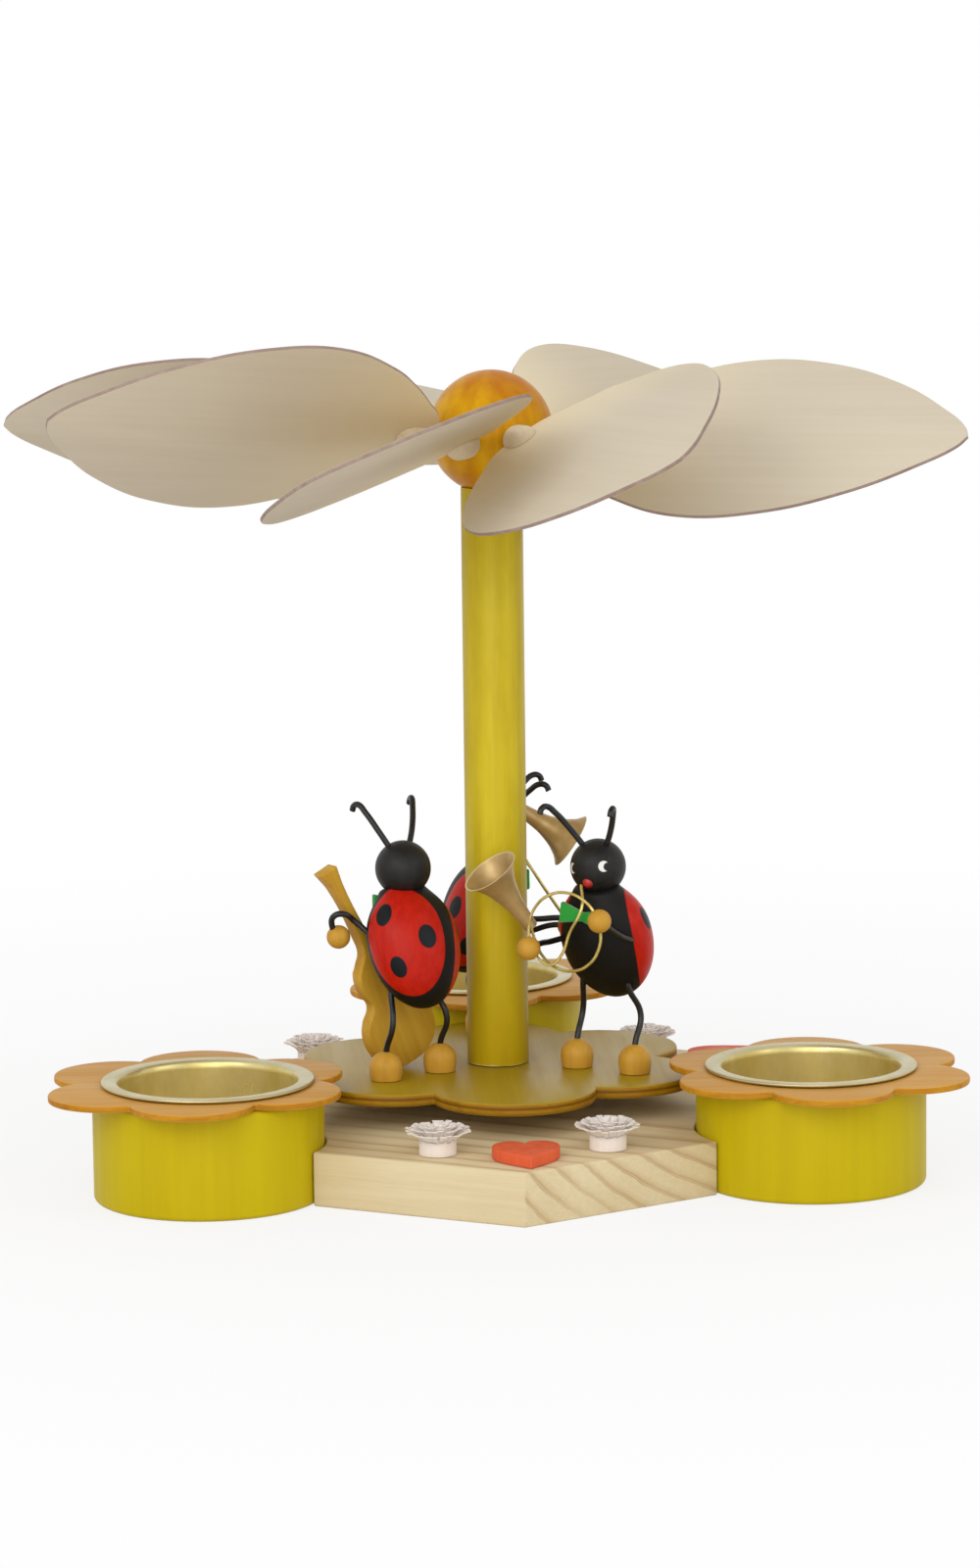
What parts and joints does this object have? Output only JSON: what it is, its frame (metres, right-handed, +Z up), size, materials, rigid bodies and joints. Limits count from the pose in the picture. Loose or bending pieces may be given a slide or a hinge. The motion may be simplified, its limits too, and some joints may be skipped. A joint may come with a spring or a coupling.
{
  "type": "candle carousel",
  "caption": "Tabletop wooden candle carousel: candle heat turns veneer blades and a flower-shaped turntable with ladybird musicians.",
  "frame": {"origin": "middle of the base's underside, on the rotor's axis", "axes": "+Z up along the rotor's axis; -Y towards the base's front corner, which carries a heart; +X towards the right"},
  "size_m": [0.2214, 0.2218, 0.1899],
  "materials": {
    "pine_wood": "bare planed pine, matt",
    "green_stained_wood": "yellow-green stain under satin varnish",
    "olive_stained_wood": "olive stain under satin varnish",
    "orange_stained_wood": "orange stained plywood, satin",
    "amber_stained_wood": "amber stain under gloss varnish",
    "veneer_wood": "bare lime veneer, matt",
    "shaving_wood": "bare white shavings",
    "ochre_wood": "ochre stain, satin",
    "red_painted_wood": "red paint, satin",
    "ladybird_paint": "red wing cases on black, satin paint",
    "black_paint": "black paint, satin",
    "black_wire": "black coated wire with ochre wooden beads",
    "green_felt": "felt",
    "gold_painted_metal": "gold-coloured wire and bell, satin",
    "gold_cup_metal": "pale gold lacquered sheet, satin",
    "steel": "ground"
  },
  "bodies": {
    "base": {"base_plate": "pine_wood", "pivot_needle": "steel", "candle_holder_1": "green_stained_wood", "candle_holder_2": "green_stained_wood", "candle_holder_3": "green_stained_wood", "flower_plate_1": "orange_stained_wood", "flower_plate_2": "orange_stained_wood", "flower_plate_3": "orange_stained_wood", "heart_1": "red_painted_wood", "heart_2": "red_painted_wood", "heart_3": "red_painted_wood", "shaving_flower_1a": "shaving_wood", "shaving_flower_1b": "shaving_wood", "shaving_flower_2a": "shaving_wood", "shaving_flower_2b": "shaving_wood", "shaving_flower_3a": "shaving_wood", "shaving_flower_3b": "shaving_wood"},
    "cup_right": {"tealight_cup_1": "gold_cup_metal"},
    "cup_rear": {"tealight_cup_2": "gold_cup_metal"},
    "cup_left": {"tealight_cup_3": "gold_cup_metal"},
    "rotor": {"turntable": "olive_stained_wood", "column": "green_stained_wood", "hub_ball": "amber_stained_wood", "bearing_cup": "steel", "cellist_torso": "ladybird_paint", "cellist_head": "black_paint", "cellist_bow_tie": "green_felt", "cellist_leg_left": "black_wire", "cellist_leg_right": "black_wire", "cellist_arm_left": "black_wire", "cellist_arm_right": "black_wire", "cellist_instrument": "ochre_wood", "horn_player_torso": "ladybird_paint", "horn_player_head": "black_paint", "horn_player_bow_tie": "green_felt", "horn_player_leg_left": "black_wire", "horn_player_leg_right": "black_wire", "horn_player_arm_left": "black_wire", "horn_player_arm_right": "black_wire", "horn_player_instrument": "gold_painted_metal", "trombonist_torso": "ladybird_paint", "trombonist_head": "black_paint", "trombonist_bow_tie": "green_felt", "trombonist_leg_left": "black_wire", "trombonist_leg_right": "black_wire", "trombonist_arm_left": "black_wire", "trombonist_arm_right": "black_wire", "trombonist_instrument": "gold_painted_metal"},
    "vane_1": {"blade_1": "veneer_wood"},
    "vane_2": {"blade_2": "veneer_wood"},
    "vane_3": {"blade_3": "veneer_wood"},
    "vane_4": {"blade_4": "veneer_wood"},
    "vane_5": {"blade_5": "veneer_wood"},
    "vane_6": {"blade_6": "veneer_wood"},
    "vane_7": {"blade_7": "veneer_wood"},
    "vane_8": {"blade_8": "veneer_wood"},
    "vane_9": {"blade_9": "veneer_wood"}
  },
  "joints": [
    {"name": "rotor_spin", "type": "hinge", "parent": "base", "child": "rotor", "pos_m": [0, 0, 0.1685], "axis": [0, 0, -1], "continuous": true},
    {"name": "cup_right_lift", "type": "slide", "parent": "base", "child": "cup_right", "axis": [0, 0, 1], "range_m": [0, 0.03]},
    {"name": "cup_rear_lift", "type": "slide", "parent": "base", "child": "cup_rear", "axis": [0, 0, 1], "range_m": [0, 0.03]},
    {"name": "cup_left_lift", "type": "slide", "parent": "base", "child": "cup_left", "axis": [0, 0, 1], "range_m": [0, 0.03]},
    {"name": "blade_1_pitch", "type": "hinge", "parent": "rotor", "child": "vane_1", "pos_m": [0, 0, 0.16521], "axis": [-0.3939, -0.9191, 0.0018], "range_deg": [-12, 20]},
    {"name": "blade_2_pitch", "type": "hinge", "parent": "rotor", "child": "vane_2", "pos_m": [0, 0, 0.16521], "axis": [0.2789, -0.9598, 0.0314], "range_deg": [-12, 20]},
    {"name": "blade_3_pitch", "type": "hinge", "parent": "rotor", "child": "vane_3", "pos_m": [0, 0, 0.16521], "axis": [0.89, -0.4554, 0.0209], "range_deg": [-12, 20]},
    {"name": "blade_4_pitch", "type": "hinge", "parent": "rotor", "child": "vane_4", "pos_m": [0, 0, 0.16521], "axis": [0.9785, 0.2062, 0], "range_deg": [-12, 20]},
    {"name": "blade_5_pitch", "type": "hinge", "parent": "rotor", "child": "vane_5", "pos_m": [0, 0, 0.16521], "axis": [0.6304, 0.7757, -0.0297], "range_deg": [-12, 20]},
    {"name": "blade_6_pitch", "type": "hinge", "parent": "rotor", "child": "vane_6", "pos_m": [0, 0, 0.16521], "axis": [0.0349, 0.9994, 0], "range_deg": [-12, 20]},
    {"name": "blade_7_pitch", "type": "hinge", "parent": "rotor", "child": "vane_7", "pos_m": [0, 0, 0.16521], "axis": [-0.6157, 0.788, 0], "range_deg": [-12, 20]},
    {"name": "blade_8_pitch", "type": "hinge", "parent": "rotor", "child": "vane_8", "pos_m": [0, 0, 0.16521], "axis": [-0.9768, 0.213, 0.0244], "range_deg": [-12, 20]},
    {"name": "blade_9_pitch", "type": "hinge", "parent": "rotor", "child": "vane_9", "pos_m": [0, 0, 0.16521], "axis": [-0.8773, -0.4724, 0.0854], "range_deg": [-12, 20]}
  ]
}
